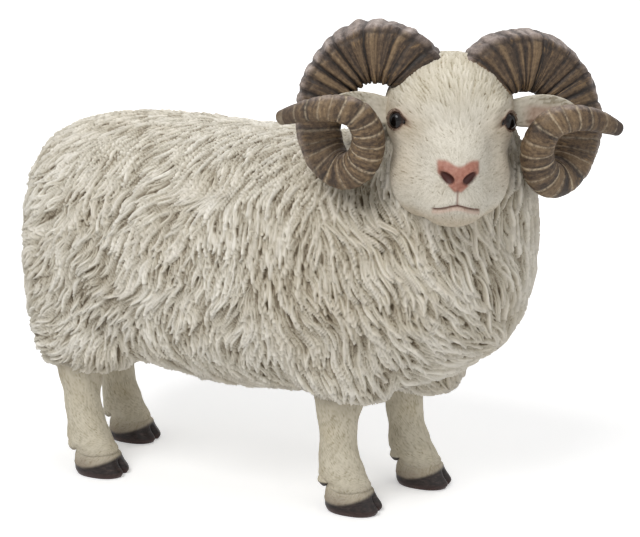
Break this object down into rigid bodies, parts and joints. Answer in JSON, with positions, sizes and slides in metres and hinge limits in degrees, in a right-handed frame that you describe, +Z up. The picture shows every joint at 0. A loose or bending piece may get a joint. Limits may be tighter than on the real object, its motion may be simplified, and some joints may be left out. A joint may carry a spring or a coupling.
{
  "type": "resin ram figurine",
  "caption": "Standing ram figurine with a long combed fleece, curled ribbed horns, its head turned to its right, bare lower legs and cloven hooves, cast as one piece.",
  "frame": {"origin": "the middle of the figurine's box, at the level of the soles of its hooves", "axes": "+Z up, the ram faces -Y, and its left side is +X. Its head is turned towards -X"},
  "size_m": [0.1916, 0.4438, 0.3495],
  "materials": {
    "fleece": "cream paint with a grey-beige wash left in the grooves",
    "face": "off-white paint over fine strokes",
    "horn": "brown paint with tan brushed over the ribs",
    "hoof": "dark brown satin paint",
    "eye": "gloss dark brown and black",
    "nose": "dull pink paint, darker in the nostrils"
  },
  "bodies": {
    "root": {"ram_figurine": "fleece"}
  },
  "joints": []
}
